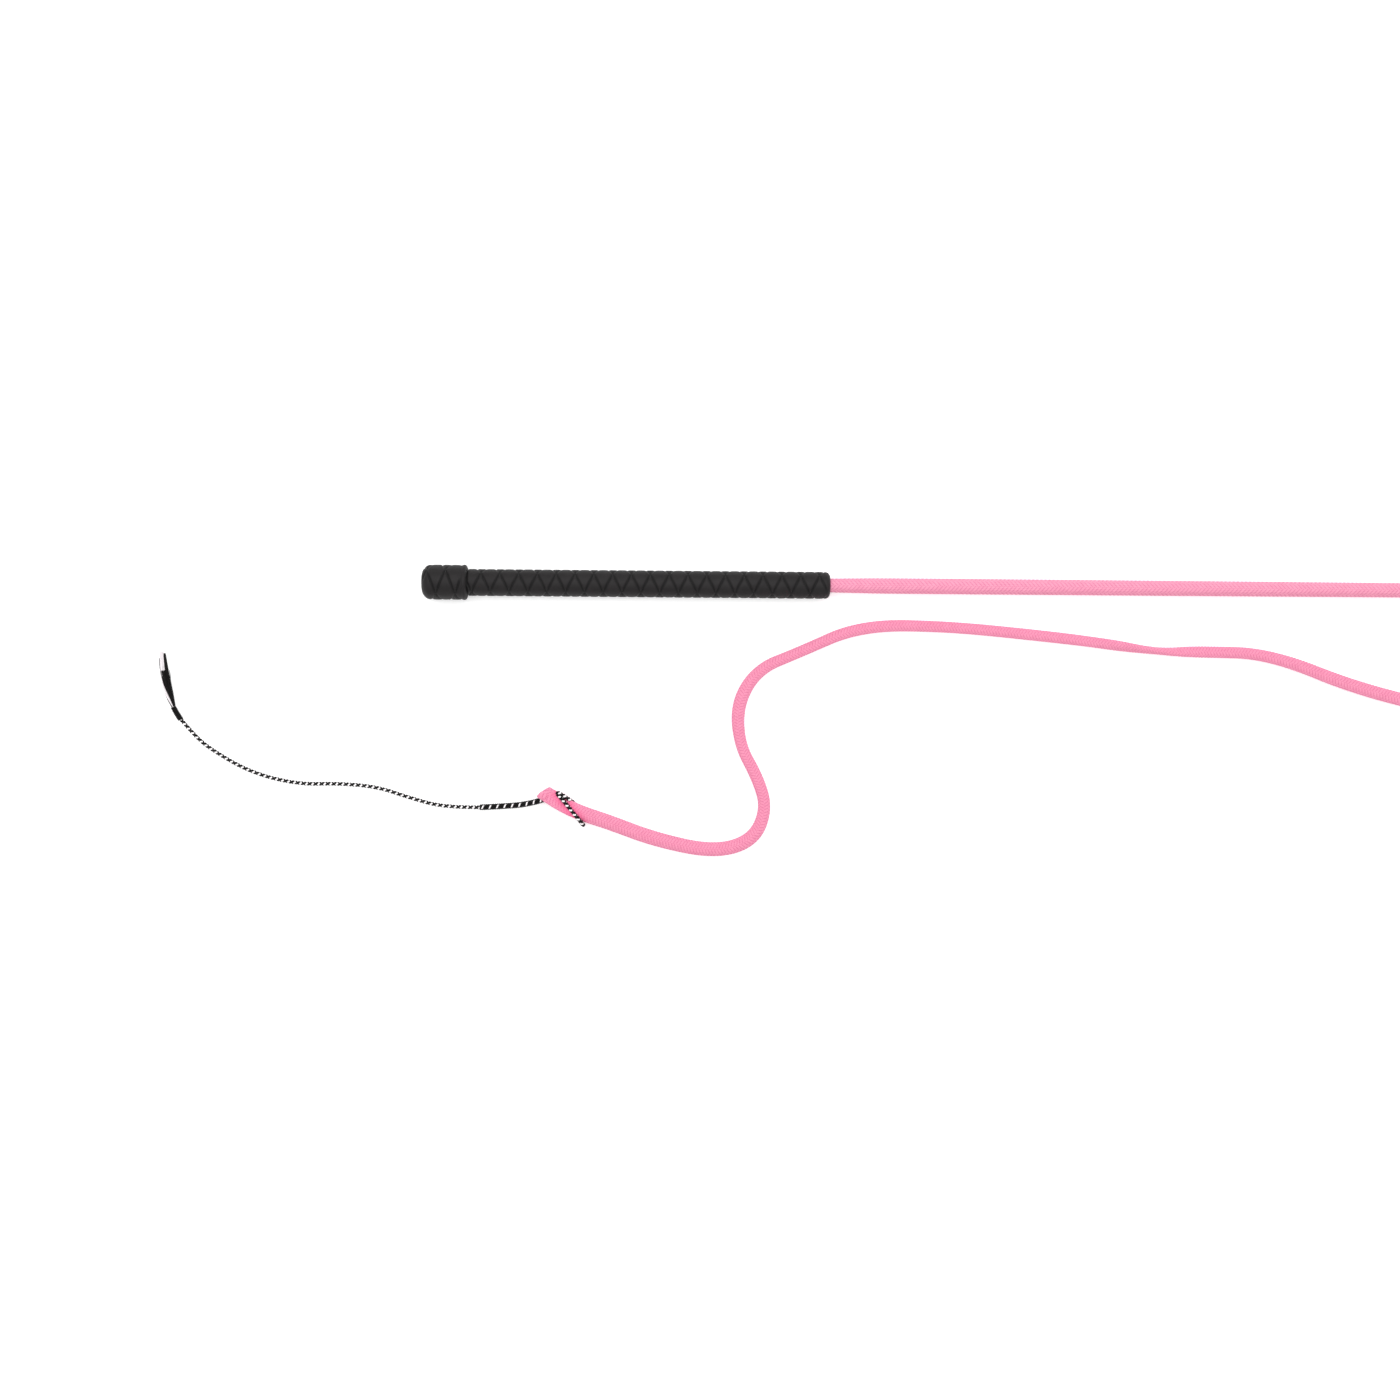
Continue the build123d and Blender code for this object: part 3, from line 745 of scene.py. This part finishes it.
def bundle_tree():
    """Geometry Nodes tree: a flat bundle of loose filaments along a guide, as wide as its radius."""
    tree = bpy.data.node_groups.new("loose filaments", "GeometryNodeTree")
    tree.interface.new_socket("Guide", in_out="INPUT", socket_type="NodeSocketGeometry")
    for label in ("Flatness", "Filament radius", "Waviness"):
        tree.interface.new_socket(label, in_out="INPUT", socket_type="NodeSocketFloat")
    for label in ("Filaments", "Seed"):
        tree.interface.new_socket(label, in_out="INPUT", socket_type="NodeSocketInt")
    tree.interface.new_socket("Yarn", in_out="INPUT", socket_type="NodeSocketMaterial")
    tree.interface.new_socket("Bundle", in_out="OUTPUT", socket_type="NodeSocketGeometry")
    given = add(tree, "NodeGroupInput").outputs
    fine = add(tree, "GeometryNodeResampleCurve", {"Curve": given["Guide"], "Count": guide_steps})
    copies = add(tree, "GeometryNodeDuplicateElements",
                 {"Geometry": fine, "Amount": given["Filaments"]}, domain="SPLINE")
    number = copies.outputs["Duplicate Index"]

    # Each filament has its own place in the bundle, its own wave and its own length
    drawn = []
    ranges = [turn_range, spread_range, waves_range, wave_start_range, length_range]
    for shift, (low, high) in enumerate(ranges):
        seed = add(tree, MATH, [given["Seed"], shift], operation="ADD")
        drawn.append(add(tree, "FunctionNodeRandomValue", {2: low, 3: high, "ID": number, "Seed": seed}))
    turn, spread, waves, wave_start, share_kept = drawn
    reach = add(tree, MATH, [spread], operation="SQRT")
    along = add(tree, "GeometryNodeSplineParameter").outputs["Factor"]
    waved = add(tree, MATH, [along, waves, wave_start], operation="MULTIPLY_ADD")
    swing = add(tree, MATH, [waved], operation="SINE")
    wave = add(tree, MATH, [swing, given["Waviness"]], operation="MULTIPLY")
    sway = add(tree, MATH, [wave, along], operation="MULTIPLY")
    size = add(tree, "GeometryNodeInputRadius")
    cosine = add(tree, MATH, [turn], operation="COSINE")
    sine = add(tree, MATH, [turn], operation="SINE")
    beside = add(tree, MATH, [cosine, reach, sway], operation="MULTIPLY_ADD")
    above = add(tree, MATH, [sine, reach], operation="MULTIPLY")
    thickness = add(tree, MATH, [size, given["Flatness"]], operation="MULTIPLY")
    side = add(tree, MATH, [beside, size], operation="MULTIPLY")
    rise = add(tree, MATH, [above, thickness], operation="MULTIPLY")
    normal = add(tree, "GeometryNodeInputNormal")
    up = add(tree, "ShaderNodeVectorMath", [normal, add(tree, "GeometryNodeInputTangent")],
             operation="CROSS_PRODUCT")
    sideways = add(tree, "ShaderNodeVectorMath", {0: normal, 3: side}, operation="SCALE")
    upwards = add(tree, "ShaderNodeVectorMath", {0: up, 3: rise}, operation="SCALE")
    offset = add(tree, "ShaderNodeVectorMath", [sideways, upwards], operation="ADD")
    laid = add(tree, "GeometryNodeSetPosition", {"Geometry": copies, "Offset": offset})
    cut = add(tree, "GeometryNodeTrimCurve", {"Curve": laid, 2: 0.0, 3: share_kept})
    even = add(tree, "GeometryNodeSetCurveRadius", {"Curve": cut, "Radius": 1.0})
    section = add(tree, "GeometryNodeCurvePrimitiveCircle", {"Resolution": filament_sides, "Radius": 1.0})
    tube = add(tree, "GeometryNodeCurveToMesh", {
        "Curve": even, "Profile Curve": section, "Scale": given["Filament radius"], "Fill Caps": True})
    smooth = add(tree, "GeometryNodeSetShadeSmooth", [tube])
    real = add(tree, "GeometryNodeRealizeInstances", [smooth])
    dyed = add(tree, "GeometryNodeSetMaterial", {"Geometry": real, "Material": given["Yarn"]})
    add(tree, "NodeGroupOutput", [dyed])
    return tree


loose = bundle_tree()
# Loose nylon filaments: fine, straight and a little glossy, from the cord's black and white strands
black_yarn = filament_thread("loose black nylon filaments", "#080607", "#080607", 0.45)
white_yarn = filament_thread("loose white nylon filaments", "#efe9ec", "#efe9ec", 0.5)

# Each bundle: node, slot, yarn, filaments, flatness, and its guide from the shaft's tip in mm, as
# (x, y, height, half width)
bundles = {
    "front_black_filaments": ("tuft_front_black", "black_yarn", black_yarn, 70, 0.35, [
        (-1737.6, -69.4, 2.2, 0.4), (-1738.5, -66.0, 2.6, 0.8), (-1739.9, -61.5, 2.7, 1.6),
        (-1741.9, -55.3, 2.6, 2.3), (-1742.7, -49.3, 2.4, 2.3)]),
    "white_filaments": ("tuft_white", "white_yarn", white_yarn, 60, 0.6, [
        (-1737.8, -69.8, 1.6, 0.6), (-1740.9, -64.8, 1.5, 0.9), (-1743.2, -58.5, 1.2, 1.0),
        (-1744.4, -49.4, 1.2, 1.3), (-1745.0, -38.8, 1.2, 1.2)]),
    "right_black_filaments": ("tuft_right_black", "black_yarn", black_yarn, 60, 0.6, [
        (-1737.4, -69.6, 1.6, 0.5), (-1738.3, -65.0, 1.3, 0.6), (-1740.2, -58.0, 1.0, 0.9),
        (-1742.2, -49.3, 1.0, 1.1), (-1743.7, -40.0, 1.0, 0.9)]),
    "left_black_filaments": ("tuft_left_black", "black_yarn", black_yarn, 24, 0.8, [
        (-1738.6, -70.0, 1.6, 0.3), (-1741.8, -65.0, 1.2, 0.35), (-1744.0, -58.0, 0.8, 0.35),
        (-1745.7, -49.2, 0.7, 0.35), (-1746.2, -42.6, 0.7, 0.3)]),
}
seeds_apart = 10
for number, (name, (node, slot, yarn, filaments, flatness, guide)) in enumerate(bundles.items()):
    route = route_curve(name + " guide", [from_tip(x, y, height) for x, y, height, width in guide],
                        [width * MM for x, y, height, width in guide])
    piece = grown(name, route, loose, flatness=flatness, filament_radius=0.14 * MM, waviness=0.12,
                  filaments=filaments, seed=seeds_apart * number, yarn=yarn)
    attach(piece, "root")
    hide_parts(node)

# ---------------------------------------------------------------------------------------------
# Studio: a pale floor, an even white surround, one large soft light overhead, and a camera that
# looks straight down on the handle and the end of the lash.
# ---------------------------------------------------------------------------------------------
floor_reach = 25.0
floor = bpy.data.meshes.new("floor")
floor_corners = [(x * floor_reach, y * floor_reach, 0) for x, y in ((-1, -1), (1, -1), (1, 1), (-1, 1))]
floor.from_pydata(floor_corners, [], [(0, 1, 2, 3)])
floor_piece = new_piece("studio_floor", floor)
# Matt white emulsion that glows a little, so that the floor stays even and pale under the whip
floor_paint = new_material("matt white studio floor")
tree = floor_paint.node_tree
shader = add(tree, "ShaderNodeBsdfDiffuse", {"Color": (0.93, 0.93, 0.93, 1)})
glow = add(tree, "ShaderNodeEmission", {"Color": (1, 1, 1, 1), "Strength": 0.3})
both = add(tree, "ShaderNodeAddShader", [shader, glow])
add(tree, "ShaderNodeOutputMaterial", [both])
floor.materials.append(floor_paint)

world = bpy.data.worlds.new("surround")
bpy.context.scene.world = world
world.use_nodes = True
background = world.node_tree.nodes["Background"]
background.inputs["Color"].default_value = (1, 1, 1, 1)
background.inputs["Strength"].default_value = 0.75

softbox = bpy.data.lights.new("softbox", "AREA")
softbox.shape = "RECTANGLE"
softbox.size = 2.4
softbox.size_y = 1.6
softbox.energy = 26.0
softbox_piece = new_piece("softbox", softbox)
softbox_piece.location = (-0.6, 0.4, 1.6)
softbox_piece.rotation_euler = (math.radians(-14), 0, 0)

camera = bpy.data.cameras.new("camera")
camera.lens = 50
camera.clip_end = 60
camera_piece = new_piece("camera", camera)
# The view is this wide at the height of the handle's axis
view_width = 0.77
axis_height = 7.5 * MM
view_distance = view_width * camera.lens / camera.sensor_width
camera_piece.location = (-0.6469, -0.0635, view_distance + axis_height)
camera_piece.rotation_euler = (0, 0, math.radians(0.47))
bpy.context.scene.camera = camera_piece
bpy.context.scene.view_settings.view_transform = "Standard"
